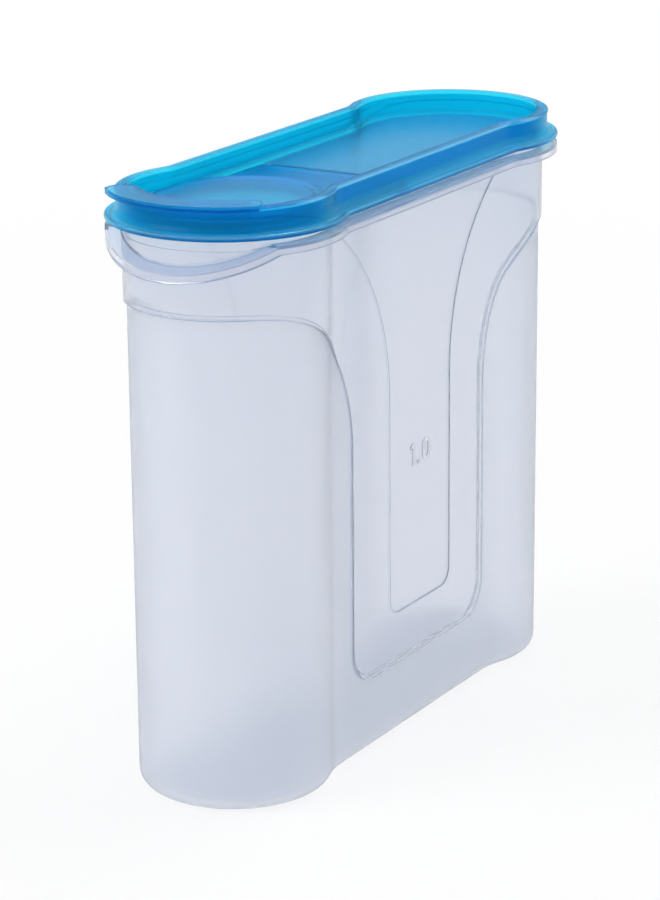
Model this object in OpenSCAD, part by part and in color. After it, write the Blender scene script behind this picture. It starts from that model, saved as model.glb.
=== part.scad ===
// Cereal container with a press-on lid and a flip spout cover.
// The plan is a dog-bone: two round ends joined by a narrower waist.
// +Z is up, the long axis is Y, and the spout end is at -Y.
// The origin is at the centre of the plan, on the face the foot stands on.

/* [Container] */
// Distance between the centres of the two round ends
end_spacing = 144; // [134:1:156]
// Diameter of the round ends
end_d = 64.4; // [60:0.2:68]
// How far each side of the waist is set in from the round ends
waist_inset = 4; // [4:1:5]
// Length, along the side, of the bend from the waist to the round ends' centres
waist_bend = 22; // [20:0.2:24]
// Height of the container, to the top of its rim
container_h = 198.2; // [180:0.2:230]
// Wall thickness
wall_t = 1.3; // [1:0.1:1.5]
// Radius of the rounded edge round the foot
foot_r = 5; // [3.5:0.5:7]
// Depth of the hollow under the floor, inside the foot ring
foot_hollow = 1; // [0.6:0.1:1.4]
// Thickness of the floor
floor_t = 1.6; // [1.2:0.1:2.2]

/* [Clear window panels] */
// How far the clear upper wall and tongue stand proud of the frosted wall
panel_proud = 1.1; // [0.8:0.1:1.3]
// Width of the clear tongue down each side
tongue_w = 89.4; // [84:0.2:94]
// Height of the foot of the clear tongue
tongue_foot_z = 26.5; // [18:0.5:32]
// Radius of the tongue's lower corners
tongue_corner_r = 13; // [8:1:18]
// Radius of the curve from the tongue to the clear upper wall
tongue_flare_r = 53; // [48:1:56]
// Distance from the shelf down to the lower edge of the clear upper wall
shoulder_drop = 21.7; // [18:0.1:25]
// Width of the grip panel inside the tongue
grip_w = 41; // [36:1:46]
// Height of the foot of the grip panel
grip_foot_z = 44.6; // [40:0.2:54]
// Radius of the grip panel's lower corners
grip_corner_r = 6; // [4:1:9]
// Radius of the curve that opens the grip panel towards the top
grip_flare_r = 74.5; // [70:0.5:78]
// Distance from the shelf down to where the grip panel starts to open
grip_flare_drop = 64; // [60:1:68]
// Depth of the grip panel
grip_depth = 0.4; // [0.3:0.05:0.5]

/* [Volume mark] */
// Height of the middle of the one-litre mark
mark_z = 97.3; // [80:0.1:110]
// Height of the numerals
mark_h = 7.8; // [6:0.2:9]
// Width of a numeral's stroke
mark_stroke = 1.3; // [1:0.1:1.5]
// How far the numerals stand up
mark_raise = 0.35; // [0.25:0.05:0.35]

/* [Neck and finger flange] */
// How far each side of the neck's waist is set in from its round ends
neck_inset = 3; // [2.5:0.5:3]
// Length, along the side, of the neck's bend from waist to round ends' centres
neck_bend = 16.5; // [16.5:0.3:21]
// Thickness of the neck wall
neck_t = 1; // [0.9:0.05:1.2]
// Height of the neck, from the shelf to the top of the rim
neck_h = 12.6; // [12:0.2:15]
// How far the catch bead stands out from the neck
catch_proud = 0.3; // [0.2:0.05:0.35]
// Radius of the catch bead
catch_r = 0.95; // [0.8:0.05:1]
// Distance from the rim down to the middle of the catch bead
catch_drop = 2.6; // [2.2:0.1:3]
// How far the finger flange reaches out from the neck
flange_reach = 5; // [4.6:0.1:5.2]
// Distance from the rim down to the top of the flange
flange_drop = 10.4; // [10.2:0.1:11]
// Thickness of the flange and of its skirt
flange_t = 1.2; // [1:0.1:1.5]
// Height of the flange with its skirt
flange_h = 2.9; // [2.4:0.1:3.4]
// Slope, in degrees, of the flange where it dips at the spout end
dip_slope = 25.5; // [20:0.5:30]
// Distance from the front of the flange back to where the dip starts
dip_len = 18.2; // [13:0.1:20]

/* [Lid] */
// Thickness of the lid's walls
lid_wall = 1; // [0.8:0.05:1.2]
// Thickness of the lid's rim top and decks
lid_t = 1.3; // [1.2:0.05:1.4]
// Clearance between the lid's skirt and the neck
skirt_gap = 0.45; // [0.4:0.05:0.6]
// Clearance between the lid's plug wall and the neck
plug_gap = 0.15; // [0.1:0.05:0.2]
// Clearance between the underside of the lid's rim and the top of the neck
seat_gap = 0.15; // [0.1:0.05:0.3]
// How far the top of the lid's rim stands out from the neck
rim_reach = 1.8; // [1.5:0.1:2.2]
// Depth of the deck below the top of the rim
deck_drop = 7.9; // [7.6:0.1:8.4]
// Thickness of the bead where the plug wall meets the deck
foot_bead = 1.15; // [0.9:0.05:1.3]
// Height of that bead above the deck
foot_bead_h = 1.3; // [0.9:0.1:1.6]
// Radius of the bead along the bottom of the skirt
hem_r = 1; // [0.9:0.05:1.1]
// How far the middle of that bead stands out from the neck
hem_reach = 4.2; // [3.9:0.05:4.4]
// Distance from the container's rim down to the middle of that bead
hem_drop = 7.3; // [7:0.1:7.6]
// Height of the skirt's flare above the middle of that bead
flare_h = 4; // [3.5:0.1:4.2]

/* [Spout] */
// Width of the pouring hole
pour_w = 46; // [40:0.5:47]
// Distance from the front end's centre to the middle of the hole's rear round
pour_back = 9.6; // [4:0.2:11]
// Height of the spout ring above the front deck
spout_h = 2.5; // [2:0.1:2.8]
// Thickness of the spout ring
spout_t = 1.1; // [0.9:0.05:1.2]

/* [Flip cover] */
// Distance from the middle of the lid to the hinge axis
hinge_back = 9; // [4:0.5:12]
// Diameter of the hinge barrel
barrel_d = 3.2; // [3:0.05:3.6]
// Diameter of the hinge pins
pin_d = 1.6; // [1.4:0.05:1.8]
// Running clearance of the pins in their bores, on the diameter
pin_play = 0.1; // [0.06:0.02:0.16]
// How far each pin reaches into the barrel
pin_reach = 1.6; // [1.2:0.1:2.2]
// Clearance round the edge of the cover
cover_gap = 0.45; // [0.4:0.05:0.6]
// Extra clearance along the cover's hollow corners, for the swing
corner_relief = 1.2; // [0.6:0.1:1.6]
// Height of the raised cap above the cover's plate
cap_h = 3.5; // [3.4:0.1:4]
// Clearance between the cap's walls and the spout ring
cap_gap = 0.3; // [0.25:0.05:0.4]
// Half the angle that the thumb lip spans, in degrees
lip_half_deg = 43; // [35:1:50]
// How far the thumb lip reaches from the front end's centre
lip_reach = 38.4; // [37.8:0.1:40]
// Thickness of the thumb lip
lip_t = 1.1; // [0.9:0.1:1.4]
// How far the lip's outer edge turns down
lip_droop = 0.8; // [0.4:0.1:1.6]
// Clearance between the thumb lip and the top of the lid's rim
lip_lift = 0.2; // [0.1:0.05:0.4]
// Clearance between the cap's plug ring and the deck
plug_lift = 0.9; // [0.6:0.1:1.2]

/* [Hidden] */
$fn = 64;
// Facets round the small beads and rounded edges
bead_fn = 16;

// Longer than any part of the container: the reach of cutting shapes
far = 200;
// Overlap that makes two joined shapes one
lap = 0.3;

end_y = end_spacing / 2;

// An outline is [radius of the round ends, half-width of the waist, radius of
// the hollow corners, length of the bend]. The corner's radius follows from the
// bend's length, because its circle touches both the end and the waist.
function bone(r, inset, bend) = [r, r - inset, (bend * bend / inset - 2 * r + inset) / 2, bend];

// Growing an outline moves every side out by the same amount
function grown(o, d) = [o[0] + d, o[1] + d, o[2] - d, o[3]];

body_outline = bone(end_d / 2, waist_inset, waist_bend);
neck_step = 0.1;
neck_outline = bone(end_d / 2 + panel_proud + neck_step, neck_inset, neck_bend);

// Heights on the container
shelf_z = container_h - neck_h;
shelf_t = wall_t;
wall_top_z = shelf_z - shelf_t / 2;
flange_z = container_h - flange_drop;
shoulder_z = shelf_z - shoulder_drop;
grip_flare_z = shelf_z - grip_flare_drop;
catch_z = container_h - catch_drop;
foot_ring_w = 2.5;
floor_z = foot_hollow + floor_t;

// The dip of the flange at the spout end
flange_front_y = -(end_y + neck_outline[0] + flange_reach);
dip_y = flange_front_y + dip_len;

// Heights on the lid
lid_top_z = container_h + seat_gap + lid_t;
skirt_out = skirt_gap + lid_wall;
plug_out = -neck_t - plug_gap;
plug_in = plug_out - lid_wall;
deck_z = lid_top_z - deck_drop;
hem_z = container_h - hem_drop;
flare_top_z = hem_z + flare_h;
rim_round = lid_t / 2;

// The flip cover and its hinge
barrel_r = barrel_d / 2;
hinge_y = -hinge_back;
barrel_sink = 0.1;
hinge_z = deck_z - barrel_sink - barrel_r;
hinge_gap = 0.35;
cover_z = deck_z - lid_t;
front_deck_z = cover_z - hinge_gap;
deck_edge_y = hinge_y + barrel_r + hinge_gap;
deck_bevel = 0.6;
trough_z = hinge_z - barrel_r - hinge_gap;
trough_y = hinge_y - barrel_r - hinge_gap - lid_t;
trough_len = deck_edge_y + lid_t - trough_y;
plug_foot_z = front_deck_z - lid_t;
cover_out = plug_in - foot_bead - cover_gap;
cover_outline = grown(neck_outline, cover_out);
bead_face_x = neck_outline[1] + plug_in - foot_bead;
cover_half_w = cover_outline[1];

// The spout ring and the cap over it
spout_in_r = pour_w / 2;
spout_out_r = spout_in_r + spout_t;
cap_in_r = spout_out_r + cap_gap;
cap_out_r = cap_in_r + lid_wall;
cap_z = deck_z + cap_h;
plug_ring_r = spout_in_r - cap_gap;
plug_ring_z = front_deck_z + plug_lift;

// The thumb lip
lip_z = lid_top_z + lip_lift;
lip_wall_inset = 0.2;
lip_wall_r = cover_outline[0] - lip_wall_inset;
lip_in_r = lip_wall_r - lid_wall;
lip_mid_r = (lip_in_r + lip_reach) / 2;
lip_end_r = (lip_reach - lip_in_r) / 2;

// The centre of the hollow corner at the +X +Y side of an outline
function corner(o) = [o[1] + o[2], end_y - o[3]];

// The dog-bone outline as a flat shape: two ends, and between the points where
// they touch the corners, a block hollowed to the waist
module outline(o) {
    block_x = corner(o)[0];
    touch_y = end_y - o[3] * o[0] / (o[0] + o[2]);
    for (s = [0, 1]) mirror([0, s]) intersection() {
        translate([0, end_y]) circle(r = o[0]);
        translate([-far, touch_y]) square([2 * far, far]);
    }
    difference() {
        polygon([[-block_x, -touch_y], [block_x, -touch_y], [block_x, touch_y], [-block_x, touch_y]]);
        for (side = [0, 1]) mirror([side, 0]) {
            for (s = [0, 1]) mirror([0, s]) translate(corner(o)) circle(r = o[2]);
            translate([o[1], -corner(o)[1]]) square([2 * o[2], 2 * corner(o)[1]]);
        }
    }
}

// A plate or a ring of the dog-bone outline
module bone_plate(o, z0, z1) {
    translate([0, 0, z0]) linear_extrude(z1 - z0) outline(o);
}

module bone_ring(outer, inner, z0, z1) {
    translate([0, 0, z0]) linear_extrude(z1 - z0) difference() {
        outline(outer);
        outline(inner);
    }
}

// Runs a cross-section round the outline. In the cross-section, x is the
// distance out from the outline and y is the height. The round pieces meet
// along the lines from each end's centre to its corners' centres.
module bone_wall(o) {
    corner_at = corner(o);
    for (s = [0, 1]) mirror([0, s, 0]) intersection() {
        translate([0, end_y, 0]) rotate_extrude() translate([o[0], 0]) children();
        linear_extrude(2 * container_h) polygon([
            [0, end_y],
            corner_at,
            [far, corner_at[1]],
            [far, far],
            [-far, far],
            [-far, corner_at[1]],
            [-corner_at[0], corner_at[1]]
        ]);
    }
    for (side = [0, 1]) mirror([side, 0, 0]) {
        translate([o[1], corner_at[1], 0]) rotate([90, 0, 0])
            linear_extrude(2 * corner_at[1]) children();
        for (s = [0, 1]) mirror([0, s, 0]) intersection() {
            translate(corner_at) rotate_extrude() translate([o[2], 0]) mirror([1, 0]) children();
            linear_extrude(2 * container_h) polygon([[0, end_y], [0, corner_at[1]], corner_at]);
        }
    }
}

// Extrudes a side view, drawn with x along Y and y along Z, across the part
module across(x0 = -far / 2, x1 = far / 2) {
    translate([x0, 0, 0]) rotate([90, 0, 90]) linear_extrude(x1 - x0) children();
}

// Side view of an upright panel with rounded lower corners
module panel_tongue(w, z0, z1, corner_r) {
    translate([-w / 2, z0 + corner_r]) square([w, z1 - z0 - corner_r]);
    translate([-w / 2 + corner_r, z0]) square([w - 2 * corner_r, corner_r + lap]);
    for (s = [-1, 1])
        translate([s * (w / 2 - corner_r), z0 + corner_r]) circle(r = corner_r);
}

// Side view of the clear zone: the upper wall with a tongue down the side.
// inset moves its whole edge inwards.
module clear_zone(inset) {
    half = tongue_w / 2 - inset;
    flare_z = shoulder_z - tongue_flare_r;
    flare_y = tongue_w / 2 + tongue_flare_r;
    panel_tongue(2 * half, tongue_foot_z + inset, wall_top_z, tongue_corner_r - inset);
    for (s = [0, 1]) mirror([s, 0]) {
        difference() {
            translate([half - lap, flare_z])
                square([flare_y - half + lap, wall_top_z - flare_z]);
            translate([flare_y, flare_z]) circle(r = tongue_flare_r + inset);
        }
        translate([flare_y - lap, shoulder_z + inset])
            square([far / 2, wall_top_z - shoulder_z - inset]);
    }
}

// Side view of the grip panel, which opens like a tulip towards the top
module grip_zone() {
    top_z = shelf_z + lap;
    rise = top_z - grip_flare_z;
    open_w = grip_flare_r - sqrt(pow(grip_flare_r, 2) - pow(rise, 2));
    panel_tongue(grip_w, grip_foot_z, top_z, grip_corner_r);
    for (s = [0, 1]) mirror([s, 0]) difference() {
        translate([grip_w / 2 - lap, grip_flare_z]) square([open_w + lap, rise]);
        translate([grip_w / 2 + grip_flare_r, grip_flare_z]) circle(r = grip_flare_r);
    }
}

// The numerals of the one-litre mark, drawn with x along Y and y along Z
module one_litre_mark() {
    base = mark_z - mark_h / 2;
    one_at = -mark_h * 0.62;
    point_at = -mark_h * 0.2;
    zero_at = mark_h * 0.56;
    zero_r = mark_h * 0.32;
    flag = [mark_h * 0.28, mark_stroke * 0.8];
    translate([one_at, base]) square([mark_stroke, mark_h]);
    translate([one_at, base + mark_h]) rotate(-145) square(flag);
    translate([point_at, base]) square(mark_stroke);
    translate([zero_at, base]) difference() {
        obround(zero_r, mark_h);
        translate([0, mark_stroke]) obround(zero_r - mark_stroke, mark_h - 2 * mark_stroke);
    }
}

// An upright shape with round ends, standing on y = 0
module obround(r, h) {
    translate([-r, r]) square([2 * r, h - 2 * r]);
    for (y = [r, h - r])
        translate([0, y]) circle(r = r);
}

// Cross-section of the foot ring and the rounded edge outside it
module foot_section() {
    translate([-foot_r - foot_ring_w, 0]) square([foot_ring_w, floor_z]);
    translate([-foot_r, foot_r]) intersection() {
        difference() {
            circle(r = foot_r, $fn = 2 * bead_fn);
            intersection() {
                circle(r = foot_r - wall_t, $fn = 2 * bead_fn);
                translate([0, floor_z - foot_r]) square(foot_r);
            }
        }
        translate([0, -foot_r]) square(foot_r);
    }
}

// The flange's ledge or skirt: a ring whose top follows the dip
module dipped_ring(outer, inner, depth) {
    fall = tan(dip_slope) * dip_len * 2;
    intersection() {
        bone_ring(outer, inner, flange_z - fall - depth, flange_z + lap);
        across() polygon([
            [dip_y - 2 * dip_len, flange_z - fall],
            [dip_y, flange_z],
            [far, flange_z],
            [far, flange_z - depth],
            [dip_y, flange_z - depth],
            [dip_y - 2 * dip_len, flange_z - fall - depth]
        ]);
    }
}

module container_body() {
    panel_face = grown(body_outline, panel_proud);
    grip_face = grown(panel_face, -grip_depth);
    flange_edge = grown(neck_outline, flange_reach);
    color([0.85, 0.87, 0.9, 0.5]) difference() {
        union() {
            bone_wall(body_outline) foot_section();
            bone_plate(grown(body_outline, -foot_r - foot_ring_w / 2), foot_hollow, floor_z);
            bone_ring(body_outline, grown(body_outline, -wall_t), foot_r, wall_top_z);
            intersection() {
                bone_ring(panel_face, grown(body_outline, -wall_t / 2), tongue_foot_z, wall_top_z);
                across() clear_zone(0);
            }
            bone_ring(neck_outline, grown(panel_face, -wall_t - neck_step), shelf_z - shelf_t, shelf_z);
            bone_ring(neck_outline, grown(neck_outline, -neck_t), shelf_z - shelf_t / 2, container_h);
            bone_wall(neck_outline) intersection() {
                translate([catch_proud - catch_r, catch_z]) circle(r = catch_r, $fn = bead_fn);
                translate([-neck_t / 2, catch_z - catch_r]) square(2 * catch_r);
            }
            dipped_ring(flange_edge, grown(neck_outline, -neck_t / 2), flange_t);
            dipped_ring(flange_edge, grown(flange_edge, -flange_t), flange_h);
        }
        intersection() {
            bone_ring(grown(panel_face, -wall_t), grown(body_outline, -wall_t - lap),
                tongue_foot_z, wall_top_z);
            across() clear_zone(wall_t);
        }
        intersection() {
            bone_ring(grown(panel_face, lap), grip_face, grip_foot_z, shelf_z - shelf_t);
            across() grip_zone();
        }
    }
    color([0.95, 0.96, 0.98, 0.8])
        across(grip_face[1] - lap, grip_face[1] + mark_raise) one_litre_mark();
}

// Cross-section of the lid's rim: a channel over the neck, with a plug wall that
// carries the deck and a skirt that curves outwards to a round bead
module rim_section() {
    rim_mid_z = lid_top_z - rim_round;
    hem_out = hem_reach - skirt_out;
    flare_r = (pow(hem_out, 2) + pow(flare_h, 2) - pow(lid_wall / 2, 2)) / (2 * hem_out + lid_wall);
    translate([plug_in + rim_round, lid_top_z - lid_t])
        square([rim_reach - plug_in - 2 * rim_round, lid_t]);
    for (x = [plug_in + rim_round, rim_reach - rim_round])
        translate([x, rim_mid_z]) circle(r = rim_round, $fn = bead_fn);
    translate([skirt_gap, flare_top_z]) square([lid_wall, rim_mid_z - flare_top_z]);
    translate([plug_in, plug_foot_z]) square([lid_wall, rim_mid_z - plug_foot_z]);
    translate([plug_in - foot_bead, plug_foot_z])
        square([foot_bead + lid_wall / 2, deck_z + foot_bead_h - plug_foot_z]);
    translate([skirt_out + flare_r, flare_top_z]) intersection() {
        difference() {
            circle(r = flare_r + lid_wall);
            circle(r = flare_r);
        }
        translate([-flare_r - lid_wall, -flare_h]) square([flare_r + lid_wall, flare_h + lap]);
    }
    translate([hem_reach, hem_z]) circle(r = hem_r, $fn = bead_fn);
}

// A core inside the skirt and the plug wall, which ties their lengths together
module lid_core() {
    for (face = [skirt_gap, plug_in])
        bone_ring(grown(neck_outline, face + lid_wall - lap), grown(neck_outline, face + lap),
            flare_top_z, lid_top_z - lid_t / 2);
}

// Side view of the lid's decks, with the trough that the hinge barrel lies in
module deck_section() {
    polygon([
        [deck_edge_y, cover_z],
        [deck_edge_y + deck_bevel, deck_z],
        [far, deck_z],
        [far, cover_z],
        [deck_edge_y + lid_t, cover_z],
        [deck_edge_y + lid_t, trough_z - lid_t],
        [trough_y, trough_z - lid_t],
        [trough_y, front_deck_z - lid_t],
        [-far, front_deck_z - lid_t],
        [-far, front_deck_z],
        [trough_y + lid_t, front_deck_z],
        [trough_y + lid_t, trough_z],
        [deck_edge_y, trough_z]
    ]);
}

// The outline of the spout: a round that follows the front end, drawn out
// towards the hinge
module spout_outline(r) {
    translate([0, -end_y]) circle(r = r);
    translate([0, -end_y + pour_back]) circle(r = r);
    translate([-r, -end_y]) square([2 * r, pour_back]);
}

module spout_ring(outer_r, inner_r, z0, z1) {
    translate([0, 0, z0]) linear_extrude(z1 - z0) difference() {
        spout_outline(outer_r);
        spout_outline(inner_r);
    }
}

module lid_frame() {
    color([0.1, 0.5, 0.78, 0.75]) {
        difference() {
            union() {
                bone_wall(neck_outline) rim_section();
                lid_core();
                intersection() {
                    bone_plate(grown(neck_outline, plug_out - lid_wall / 2), trough_z - far / 2, lid_top_z);
                    across() deck_section();
                }
                for (side = [0, 1]) mirror([side, 0, 0])
                    translate([bead_face_x, trough_y, trough_z - lid_t])
                        cube([foot_bead + lid_wall / 2, trough_len, deck_z - trough_z + lid_t]);
            }
            translate([0, 0, front_deck_z - far / 2]) linear_extrude(far) spout_outline(spout_in_r);
        }
        spout_ring(spout_out_r, spout_in_r, front_deck_z - lid_t, front_deck_z + spout_h);
        for (side = [0, 1]) mirror([side, 0, 0])
            translate([bead_face_x - cover_gap - pin_reach, hinge_y, hinge_z]) rotate([0, 90, 0])
                cylinder(d = pin_d, h = cover_gap + pin_reach + lap, $fn = 2 * bead_fn);
    }
}

// The cover's plate: the front half of the dog-bone, cut back along its hollow
// corners so that they swing clear of the lid
module cover_plate_outline() {
    relief_at = corner(cover_outline);
    difference() {
        intersection() {
            outline(cover_outline);
            translate([-far / 2, hinge_y - far]) square(far);
        }
        for (side = [-1, 1])
            translate([side * relief_at[0], -relief_at[1]])
                circle(r = cover_outline[2] + corner_relief);
    }
}

// The thumb lip is drawn about the front end's centre, as two halves that each
// run from one end of the lip to past its middle
module lip_halves() {
    for (side = [0, 1]) mirror([side, 0]) rotate(-lip_half_deg) children();
}

// A band of the lip between two distances from the front end's centre
module lip_band(inner_r, outer_r) {
    lip_halves() difference() {
        intersection() {
            circle(r = outer_r);
            translate([0, -2 * lip_reach]) square(2 * lip_reach);
        }
        circle(r = inner_r);
    }
}

// The lip's plan: a band with rounded ends
module lip_outline() {
    lip_band(lip_in_r, lip_reach);
    lip_halves() translate([0, -lip_mid_r]) {
        difference() {
            circle(r = lip_end_r);
            translate([0, -lip_end_r]) square(2 * lip_end_r);
        }
        square([2 * lap, lip_end_r], center = true);
    }
}

// The lip's outer edge, which turns down outside the lid's rim
module lip_edge() {
    difference() {
        lip_outline();
        circle(r = lip_reach - lip_t);
    }
}

module at_front_end(z0, z1) {
    translate([0, -end_y, z0]) linear_extrude(z1 - z0) children();
}

module flip_cover() {
    bore_len = pin_reach + lap;
    color([0.13, 0.55, 0.82, 0.75]) difference() {
        union() {
            translate([0, 0, cover_z]) linear_extrude(lid_t) difference() {
                cover_plate_outline();
                spout_outline(cap_in_r);
            }
            translate([-cover_half_w, hinge_y, hinge_z]) rotate([0, 90, 0])
                cylinder(d = barrel_d, h = 2 * cover_half_w, $fn = 2 * bead_fn);
            spout_ring(cap_out_r, cap_in_r, cover_z, cap_z);
            translate([0, 0, cap_z - lid_t]) linear_extrude(lid_t) spout_outline(cap_out_r);
            spout_ring(plug_ring_r, plug_ring_r - lid_wall, plug_ring_z, cap_z - lid_t / 2);
            at_front_end(cap_z - lid_t, cap_z) lip_band(cap_out_r - lap, lip_in_r + lap);
            at_front_end(deck_z - lid_t / 2, lip_z + lip_t) lip_band(lip_in_r, lip_wall_r);
            at_front_end(lip_z, lip_z + lip_t) lip_outline();
            at_front_end(lip_z - lip_droop, lip_z + lip_t) lip_edge();
        }
        for (side = [0, 1]) mirror([side, 0, 0])
            translate([cover_half_w - bore_len, hinge_y, hinge_z]) rotate([0, 90, 0])
                cylinder(d = pin_d + pin_play, h = bore_len + lap, $fn = 2 * bead_fn);
    }
}

container_body();
lid_frame();
flip_cover();
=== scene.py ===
"""Dresses the cereal container: natural moulded body, blue lid and blue flip cover."""
import math

import bpy
from mathutils import Matrix, Vector


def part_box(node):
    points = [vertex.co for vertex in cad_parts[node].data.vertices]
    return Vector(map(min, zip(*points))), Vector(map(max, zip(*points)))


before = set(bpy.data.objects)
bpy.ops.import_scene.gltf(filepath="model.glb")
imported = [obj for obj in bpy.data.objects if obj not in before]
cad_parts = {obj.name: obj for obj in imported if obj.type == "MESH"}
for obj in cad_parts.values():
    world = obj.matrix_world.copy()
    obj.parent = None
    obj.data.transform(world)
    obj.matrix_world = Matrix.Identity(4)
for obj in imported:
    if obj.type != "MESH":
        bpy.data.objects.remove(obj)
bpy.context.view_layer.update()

MM = 0.001

# ------------------------------------------------------------- heights and places

rim_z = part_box("container_body")[1].z
lid_top_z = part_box("lid_frame")[1].z
shelf_z = rim_z - 12.6 * MM
neck_z = rim_z - 9 * MM
hem_z = rim_z - 7.3 * MM
flange_z = shelf_z - 12.5 * MM
deck_z = lid_top_z - 7.9 * MM

# The clear window is an upper band with a tongue down each broad side. Each panel is
# [half width, height of its foot, lower corner, radius of its flare, flare's start].
WINDOW_PANEL = [44.7 * MM, 26.5 * MM, 13 * MM, 53 * MM, shelf_z - 74.7 * MM]
GRIP_PANEL = [20.5 * MM, 44.6 * MM, 6 * MM, 74.5 * MM, shelf_z - 64 * MM]

# The raised one-litre numerals: their middle, half their length and height, and a
# distance from the part's middle plane between the grip panel and their faces
MARK_Z = 97.3 * MM
MARK_HALF_LENGTH = 8 * MM
MARK_HALF_HEIGHT = 5 * MM
MARK_FACE = 29.0 * MM

# The cover's straight seam across the deck
SEAM_Y = -7.2 * MM
SEAM_HALF_WIDTH = 0.7 * MM
SEAM_HALF_LENGTH = 24.4 * MM

# How far along the part the waist reaches, and where the round ends start
WAIST_REACH = 62 * MM
ROUND_END = 80 * MM

# ------------------------------------------------------------- colours and finish

FROSTED = (0.90, 0.92, 0.965, 1)
POLISHED = (0.865, 0.885, 0.945, 1)
# Pale flow tone, also the painted light on the neck
PALE_FLOW_AND_NECK_LIGHT = (0.97, 0.98, 1.0, 1)
# Painted grey shade for the panel edge lines and the foot band
PANEL_AND_FOOT_SHADE = (0.50, 0.56, 0.68, 1)
# Painted blue-grey shade on the flange's level top
FLANGE_TOP_SHADE = (0.60, 0.69, 0.87, 1)
MARK_WHITE = (1, 1, 1, 1)
# Painted grey shade on the numerals' sides
MARK_SIDE_SHADE = (0.45, 0.50, 0.62, 1)

# Painted light and shade: one blue plastic takes separate blues on walls, level plates and inner
# walls, and the cover's blues are painted lighter than the lid's
LID_WALL = (0.001, 0.56, 0.94, 1)
LID_PLATE = (0.035, 0.53, 0.89, 1)
COVER_WALL = (0.001, 0.66, 0.98, 1)
COVER_PLATE = (0.035, 0.62, 0.95, 1)
# Painted glow on walls that face the middle, as if lit from behind
INNER_WALL_GLOW = (0.02, 0.80, 1.0, 1)
# Painted shade on the seam, under the hem and under the lip
EDGE_SHADE = (0.001, 0.30, 0.68, 1)
# Painted highlight on the top of the hem bead
HEM_HIGHLIGHT = (0.70, 0.96, 1.0, 1)
# Painted highlight on the waist's flare
WAIST_FLARE_HIGHLIGHT = (0.20, 0.72, 0.95, 1)
# Painted highlight on the rim's rounded top edge
RIM_HIGHLIGHT = (0.33, 0.55, 0.82, 1)
# Painted light on the lip's level top
LIP_TOP_LIGHT = (0.30, 0.78, 1.0, 1)
BLUE_FLOW = (0.2, 0.8, 1.0, 1)

GRAIN_DEPTH = 0.04 * MM
FLOW_TINT = 0.12
WEAR_ROUGHNESS = 0.3


# ------------------------------------------------------------- node tools

class Tree:
    """Short names for making and joining shader nodes."""

    def __init__(self, tree):
        self.tree = tree
        self.nodes = tree.nodes

    def add(self, kind, **inputs):
        node = self.nodes.new(kind)
        self.fill(node, inputs)
        return node

    def fill(self, node, inputs):
        """Links or sets a node's inputs, by name or by number as i0, i1 and so on."""
        for name, value in inputs.items():
            numbered = name[0] == "i" and name[1:].isdigit()
            socket = node.inputs[int(name[1:]) if numbered else name.replace("_", " ")]
            if isinstance(value, bpy.types.NodeSocket):
                self.tree.links.new(value, socket)
            else:
                socket.default_value = value

    def math(self, operation, a, b=0.0):
        node = self.add("ShaderNodeMath", i0=a, i1=b)
        node.operation = operation
        return node.outputs[0]

    def vector_math(self, operation, a, b):
        node = self.add("ShaderNodeVectorMath", i0=a, i1=b)
        node.operation = operation
        return node

    def product(self, value, *factors):
        for factor in factors:
            value = self.math("MULTIPLY", value, factor)
        return value

    def sum(self, value, *others):
        for other in others:
            value = self.math("ADD", value, other)
        return value

    def size(self, value):
        return self.math("ABSOLUTE", value)

    def length(self, a, b):
        return self.math("SQRT", self.sum(self.math("POWER", a, 2.0), self.math("POWER", b, 2.0)))

    def mix(self, amount, a, b):
        node = self.nodes.new("ShaderNodeMix")
        node.data_type = "RGBA"
        self.fill(node, {"i0": amount, "i6": a, "i7": b})
        return node.outputs[2]

    def step(self, value, low, high, to_low=0.0, to_high=1.0):
        """A smooth step, which falls where low is above high."""
        node = self.add("ShaderNodeMapRange", i0=value, i1=low, i2=high, i3=to_low, i4=to_high)
        node.interpolation_type = "SMOOTHSTEP"
        return node.outputs[0]

    def band(self, value, low, high, soft):
        """1 between two values, with soft ends."""
        return self.product(self.step(value, low - soft, low + soft),
                            self.step(value, high + soft, high - soft))

    def noise(self, where, scale, detail=2.0):
        return self.add("ShaderNodeTexNoise", Vector=where, Scale=scale, Detail=detail).outputs[0]

    def coordinates(self, kind):
        return self.nodes.new("ShaderNodeTexCoord").outputs[kind]

    def split(self, vector):
        return self.add("ShaderNodeSeparateXYZ", Vector=vector).outputs[:3]

    def flatness(self):
        """1 on faces that are level at rest, 0 on upright and steep ones."""
        upward = self.split(self.coordinates("Normal"))[2]
        return self.step(self.size(upward), 0.7, 0.95)

    def outward(self, where):
        """1 on walls that face away from the part's middle, 0 on walls that face it."""
        level = self.vector_math("MULTIPLY", where, (1, 1, 0)).outputs[0]
        side = self.vector_math("DOT_PRODUCT", level, self.coordinates("Normal"))
        return self.step(side.outputs["Value"], -2 * MM, 2 * MM)

    def soft_edges(self, radius):
        """The normal over edges that the mould has rounded a little."""
        node = self.add("ShaderNodeBevel", Radius=radius)
        node.samples = 6
        return node.outputs[0]


def new_group(name, sockets_in, sockets_out):
    tree = bpy.data.node_groups.new(name, "ShaderNodeTree")
    for label, kind, value in sockets_in:
        socket = tree.interface.new_socket(label, in_out="INPUT", socket_type=kind)
        if value is not None:
            socket.default_value = value
    for label in sockets_out:
        tree.interface.new_socket(label, in_out="OUTPUT", socket_type="NodeSocketFloat")
    t = Tree(tree)
    return t, t.nodes.new("NodeGroupInput"), t.nodes.new("NodeGroupOutput")


def use_group(t, tree, **inputs):
    node = t.nodes.new("ShaderNodeGroup")
    node.node_tree = tree
    t.fill(node, inputs)
    return node


# ------------------------------------------------------------- shared effects

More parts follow.
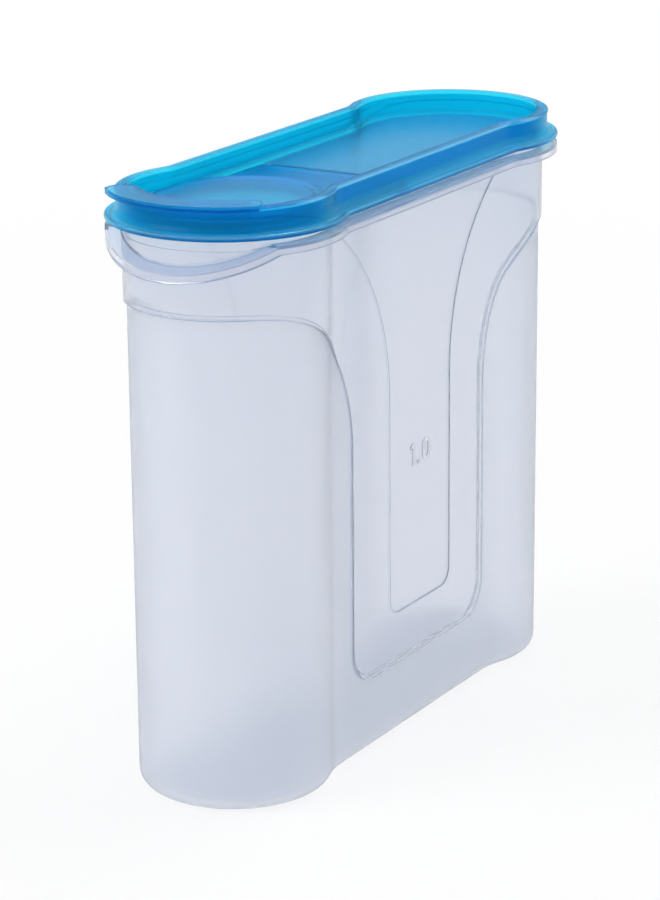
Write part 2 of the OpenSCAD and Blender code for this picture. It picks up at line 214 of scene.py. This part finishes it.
def grain_group():
    """Fine moulded grain, slow flow marks and a few handling scratches."""
    t, inner, outer = new_group(
        "moulded_grain",
        [("Vector", "NodeSocketVector", None), ("Grain Size", "NodeSocketFloat", 1500.0),
         ("Flow", "NodeSocketFloat", 0.5), ("Scratches", "NodeSocketFloat", 0.3)],
        ["Height", "Tone", "Wear"])
    where = inner.outputs["Vector"]
    grain = t.noise(where, inner.outputs["Grain Size"], 3.0)
    stretch = t.add("ShaderNodeMapping", Vector=where, Scale=(1.0, 1.0, 0.28))
    flow = t.noise(stretch.outputs[0], 38.0, 3.0)
    streak = t.add("ShaderNodeMapping", Vector=where, Rotation=(0.5, 0.9, 0.3),
                   Scale=(900.0, 24.0, 30.0))
    line = t.step(t.noise(streak.outputs[0], 1.0), 0.68, 0.74)
    patch = t.step(t.noise(where, 45.0), 0.5, 0.66)
    wear = t.product(line, patch, inner.outputs["Scratches"])
    height = t.sum(t.product(grain, 0.35), t.product(flow, inner.outputs["Flow"]))
    t.fill(outer, {"Height": t.math("SUBTRACT", height, wear), "Tone": flow, "Wear": wear})
    return t.tree


def panel_group():
    """Masks for a tongue-shaped panel that flares towards the top: its field and edge line."""
    sizes = ["Half Width", "Foot", "Corner", "Flare Radius", "Flare Start"]
    t, inner, outer = new_group(
        "panel_zone",
        [("Vector", "NodeSocketVector", None)] + [(name, "NodeSocketFloat", 0.01) for name in sizes],
        ["Field", "Edge"])
    half, foot, corner, flare, start = [inner.outputs[name] for name in sizes]
    _, along, height = t.split(inner.outputs["Vector"])
    along = t.size(along)
    # Distance outside the tongue, a rectangle with rounded lower corners
    side = t.math("MAXIMUM", t.math("SUBTRACT", along, t.math("SUBTRACT", half, corner)), 0.0)
    below = t.math("MAXIMUM", t.math("SUBTRACT", t.sum(foot, corner), height), 0.0)
    tongue = t.math("SUBTRACT", t.length(side, below), corner)
    # Distance outside the flare, which lies above its start and outside its circle
    flare_y = t.sum(half, flare)
    inset = t.math("SUBTRACT", flare_y, t.math("MINIMUM", along, flare_y))
    above = t.math("MAXIMUM", t.math("SUBTRACT", height, start), 0.0)
    horn = t.math("MAXIMUM", t.math("SUBTRACT", flare, t.length(inset, above)),
                  t.math("SUBTRACT", start, height))
    outside = t.math("MINIMUM", tongue, horn)
    t.fill(outer, {"Field": t.step(outside, 0.25 * MM, -0.25 * MM),
                   "Edge": t.step(t.size(outside), 0.5 * MM, 0.15 * MM)})
    return t.tree


GRAIN = grain_group()
PANEL = panel_group()


def panel_masks(t, where, sizes):
    half, foot, corner, flare, start = sizes
    zone = use_group(t, PANEL, Vector=where, Half_Width=half, Foot=foot, Corner=corner,
                     Flare_Radius=flare, Flare_Start=start)
    return zone.outputs["Field"], zone.outputs["Edge"]


def new_material(name):
    material = bpy.data.materials.new(name)
    material.use_nodes = True
    t = Tree(material.node_tree)
    return material, t, t.nodes["Principled BSDF"]


def finish_surface(t, shader, grain, colour, rough, strength, edge_radius):
    """Joins the colour, roughness and grain to the shader, with softened edges."""
    rough = t.sum(rough, t.product(grain.outputs["Wear"], WEAR_ROUGHNESS))
    bump = t.add("ShaderNodeBump", Strength=strength, Distance=GRAIN_DEPTH,
                 Height=grain.outputs["Height"], Normal=t.soft_edges(edge_radius))
    t.fill(shader, {"Base Color": colour, "Roughness": rough, "Normal": bump.outputs[0]})


# ------------------------------------------------------------- the container

def mark_masks(t, across, along, height):
    """The faces of the raised numerals, and their sides, which take painted shade."""
    depth = t.size(across)
    rise = t.size(t.math("SUBTRACT", height, MARK_Z))
    zone = t.product(t.step(t.size(along), MARK_HALF_LENGTH + 1 * MM, MARK_HALF_LENGTH),
                     t.step(rise, MARK_HALF_HEIGHT + 0.5 * MM, MARK_HALF_HEIGHT))
    face = t.product(zone, t.step(depth, MARK_FACE, MARK_FACE + 0.12 * MM))
    facing = t.split(t.coordinates("Normal"))[0]
    side = t.product(t.step(t.size(facing), 0.6, 0.3), zone,
                     t.step(depth, MARK_FACE - 0.25 * MM, MARK_FACE - 0.15 * MM))
    return face, side


def natural_plastic():
    """Natural polypropylene: polished in the windows, finely frosted elsewhere, with painted shade
    on edges and a painted pale neck.
    """
    material, t, shader = new_material("natural_polypropylene")
    where = t.coordinates("Object")
    across, along, height = t.split(where)
    clear, window_edge = panel_masks(t, where, WINDOW_PANEL)
    grip_edge = panel_masks(t, where, GRIP_PANEL)[1]
    mark, mark_side_shade = mark_masks(t, across, along, height)
    grain = use_group(t, GRAIN, Vector=where, Grain_Size=1800.0, Flow=0.8, Scratches=0.08)
    tone = grain.outputs["Tone"]

    colour = t.mix(clear, FROSTED, POLISHED)
    colour = t.mix(t.product(tone, FLOW_TINT), colour, PALE_FLOW_AND_NECK_LIGHT)
    # Painted light: the neck at the top of the body is painted pale, as if lit through from behind
    neck = t.step(height, neck_z - 0.5 * MM, neck_z + 0.5 * MM)
    colour = t.mix(neck, colour, PALE_FLOW_AND_NECK_LIGHT)
    # Painted shade: a faint grey band low on the body, round the foot
    foot_shade = t.product(t.step(height, 0.7 * MM, 1.2 * MM), t.step(height, 3.4 * MM, 2.4 * MM))
    colour = t.mix(t.product(foot_shade, 0.4), colour, PANEL_AND_FOOT_SHADE)
    # Painted shade: the flange's level top is painted blue-grey
    flange = t.product(t.flatness(), t.step(height, flange_z - 0.5 * MM, flange_z + 0.5 * MM))
    colour = t.mix(t.product(flange, 0.5), colour, FLANGE_TOP_SHADE)
    # Painted shade: grey lines along the edges of the clear window and of the grip panel
    line = t.math("MAXIMUM", window_edge, grip_edge)
    colour = t.mix(t.product(line, 0.55), colour, PANEL_AND_FOOT_SHADE)
    colour = t.mix(mark, colour, MARK_WHITE)
    # Painted shade: grey outlines on the numerals' sides
    colour = t.mix(t.product(mark_side_shade, 0.8), colour, MARK_SIDE_SHADE)

    rough = t.sum(t.step(clear, 0.0, 1.0, 0.52, 0.14), t.product(tone, 0.06), t.product(mark, 0.12))
    finish_surface(t, shader, grain, colour, rough, t.step(clear, 0.0, 1.0, 0.5, 0.12), 0.5 * MM)
    t.fill(shader, {"Transmission Weight": 0.86, "IOR": 1.18})
    return material


# ------------------------------------------------------------- the lid and the cover

def seam_shade(t, colour, zones):
    """Painted shade along both sides of the straight seam across the deck."""
    seam = t.product(
        t.band(zones["along"], SEAM_Y - SEAM_HALF_WIDTH, SEAM_Y + SEAM_HALF_WIDTH, 0.1 * MM),
        t.band(zones["height"], deck_z - 0.8 * MM, deck_z + 0.3 * MM, 0.1 * MM),
        t.step(t.size(zones["across"]), SEAM_HALF_LENGTH + 0.2 * MM, SEAM_HALF_LENGTH - 0.2 * MM))
    return t.mix(t.product(seam, 0.8), colour, EDGE_SHADE)


def lid_light_and_shade(t, colour, zones):
    """Painted light and shade on the lid: a highlight on the waist's flare, a highlight on the hem
    bead's top with shade below it, a highlight on the rim's rounded edge, and shade in the seam.
    """
    height, outside = zones["height"], zones["outside"]
    # Painted highlight along the flare of the waist
    waist = t.step(t.size(zones["along"]), ROUND_END, WAIST_REACH)
    flare = t.product(outside, waist, t.band(height, hem_z + 0.9 * MM, hem_z + 3.2 * MM, 0.7 * MM))
    colour = t.mix(t.product(flare, 0.7), colour, WAIST_FLARE_HIGHLIGHT)
    # Painted highlight on the top of the hem bead, painted shade below it. The deck lies at the
    # hem's height, and takes half of both.
    crest_highlight = t.product(outside, t.band(height, hem_z, hem_z + 0.8 * MM, 0.12 * MM))
    colour = t.mix(t.product(crest_highlight, 0.9), colour, HEM_HIGHLIGHT)
    # Painted shade along the hem's lower edge
    hem_shade = t.product(outside, t.step(height, hem_z - 0.15 * MM, hem_z - 0.4 * MM),
                     t.step(height, hem_z - 1.6 * MM, hem_z - 1.3 * MM))
    colour = t.mix(t.product(hem_shade, 0.85), colour, EDGE_SHADE)
    # Painted highlight: the rim's rounded top edge is painted pale
    rim_highlight = t.product(zones["steep"], outside,
                         t.band(height, lid_top_z - 0.75 * MM, lid_top_z, 0.1 * MM))
    colour = t.mix(t.product(rim_highlight, 0.85), colour, RIM_HIGHLIGHT)
    return seam_shade(t, colour, zones)


def cover_light_and_shade(t, colour, zones):
    """Painted light on the thumb lip's top, painted shadow along its lower edge, and painted shade
    in the seam.
    """
    height = zones["height"]
    # Painted light: the lip's level top is painted paler
    lip = t.product(zones["level"], t.step(height, lid_top_z - 0.1 * MM, lid_top_z + 0.1 * MM))
    colour = t.mix(t.product(lip, 0.35), colour, LIP_TOP_LIGHT)
    # Painted shadow: a dark line along the lip's lower edge
    edge = t.product(zones["steep"], zones["outside"],
                     t.step(height, lid_top_z - 1.2 * MM, lid_top_z - 1.0 * MM))
    colour = t.mix(t.product(edge, 0.9), colour, EDGE_SHADE)
    return seam_shade(t, colour, zones)


def blue_plastic(name, wall, plate, own_light_and_shade):
    """Translucent blue polypropylene with a satin finish, with painted light and shade: flat plates
    and walls take different blues.
    """
    material, t, shader = new_material(name)
    where = t.coordinates("Object")
    across, along, height = t.split(where)
    level, outside = t.flatness(), t.outward(where)
    zones = {"across": across, "along": along, "height": height, "outside": outside,
             "level": level, "steep": t.math("SUBTRACT", 1.0, level)}
    grain = use_group(t, GRAIN, Vector=where, Grain_Size=1400.0, Flow=0.5, Scratches=0.05)
    tone = grain.outputs["Tone"]

    # Painted light and shade: level plates, outward walls and inward walls each take their own blue
    colour = t.mix(level, t.mix(outside, INNER_WALL_GLOW, wall), plate)
    colour = own_light_and_shade(t, colour, zones)
    colour = t.mix(t.product(tone, FLOW_TINT), colour, BLUE_FLOW)
    finish_surface(t, shader, grain, colour, t.sum(t.product(tone, 0.1), 0.2), 0.25, 0.4 * MM)
    t.fill(shader, {"Transmission Weight": 0.9, "IOR": 1.12, "Specular IOR Level": 0.3})
    return material


def dress(node, material):
    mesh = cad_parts[node].data
    mesh.materials.clear()
    mesh.materials.append(material)


dress("container_body", natural_plastic())
dress("lid_frame", blue_plastic("blue_lid_plastic", LID_WALL, LID_PLATE, lid_light_and_shade))
dress("flip_cover", blue_plastic("blue_cover_plastic", COVER_WALL, COVER_PLATE, cover_light_and_shade))


# ------------------------------------------------------------- the stage

def make_floor():
    """A pale floor that looks white away from the container and keeps its shadow."""
    half = 3.0
    corners = [(-half, -half, 0), (half, -half, 0), (half, half, 0), (-half, half, 0)]
    mesh = bpy.data.meshes.new("floor")
    mesh.from_pydata(corners, [], [(0, 1, 2, 3)])
    floor = bpy.data.objects.new("floor", mesh)
    bpy.context.scene.collection.objects.link(floor)
    material, t, shader = new_material("pale_floor")
    t.fill(shader, {"Base Color": (0.86, 0.86, 0.87, 1), "Roughness": 0.8})
    glow = t.add("ShaderNodeEmission", Color=(1, 1, 1, 1), Strength=1.0)
    path = t.nodes.new("ShaderNodeLightPath")
    seen = t.math("MAXIMUM", path.outputs["Is Camera Ray"], path.outputs["Is Glossy Ray"])
    seen = t.math("MAXIMUM", seen, path.outputs["Is Transmission Ray"])
    across, along, _ = t.split(t.coordinates("Object"))
    fade = t.step(t.length(across, along), 0.2, 1.0, 0.8, 1.0)
    blend = t.add("ShaderNodeMixShader", i0=t.product(seen, fade), i1=shader.outputs[0],
                  i2=glow.outputs[0])
    t.fill(t.nodes["Material Output"], {"Surface": blend.outputs[0]})
    mesh.materials.append(material)


def make_world():
    """Soft light all round, which the camera sees as white, also through the plastic."""
    world = bpy.data.worlds.new("studio")
    bpy.context.scene.world = world
    world.use_nodes = True
    t = Tree(world.node_tree)
    t.nodes.clear()
    path = t.nodes.new("ShaderNodeLightPath")
    seen = t.math("MAXIMUM", path.outputs["Is Camera Ray"], path.outputs["Is Transmission Ray"])
    strength = t.step(seen, 0.0, 1.0, 0.62, 1.0)
    light = t.add("ShaderNodeBackground", Color=(1.0, 1.0, 1.0, 1), Strength=strength)
    t.add("ShaderNodeOutputWorld", Surface=light.outputs[0])


def make_lamp(name, place, aim, size, watts):
    data = bpy.data.lights.new(name, "AREA")
    data.shape = "RECTANGLE"
    data.size, data.size_y = size
    data.energy = watts
    lamp = bpy.data.objects.new(name, data)
    lamp.location = place
    lamp.rotation_euler = (Vector(aim) - Vector(place)).to_track_quat("-Z", "Y").to_euler()
    bpy.context.scene.collection.objects.link(lamp)


def make_camera():
    """A camera that looks down at the spout end from the front right."""
    turn, tilt, roll = math.radians(30.9), math.radians(17.16), math.radians(-0.49)
    target, distance = Vector((-4.64, -2.56, 93.3)) * MM, 1066.3 * MM
    back = Vector((math.sin(turn) * math.cos(tilt), -math.cos(turn) * math.cos(tilt),
                   math.sin(tilt)))
    level = Vector((math.cos(turn), math.sin(turn), 0))
    upright = back.cross(level)
    right = math.cos(roll) * level + math.sin(roll) * upright
    up = math.cos(roll) * upright - math.sin(roll) * level
    place = target + distance * back
    data = bpy.data.cameras.new("camera")
    data.lens = 124.8
    data.clip_end = 20
    camera = bpy.data.objects.new("camera", data)
    camera.matrix_world = Matrix((
        (right.x, up.x, back.x, place.x),
        (right.y, up.y, back.y, place.y),
        (right.z, up.z, back.z, place.z),
        (0, 0, 0, 1)))
    bpy.context.scene.collection.objects.link(camera)
    bpy.context.scene.camera = camera


make_floor()
make_world()
make_lamp("key_light", (-0.9, -1.1, 1.5), (0, 0, 0.1), (0.9, 0.9), 16)
make_lamp("top_light", (0.3, 0.6, 1.6), (0, 0, 0.15), (1.0, 0.8), 9)
make_camera()
bpy.context.scene.view_settings.view_transform = "Standard"
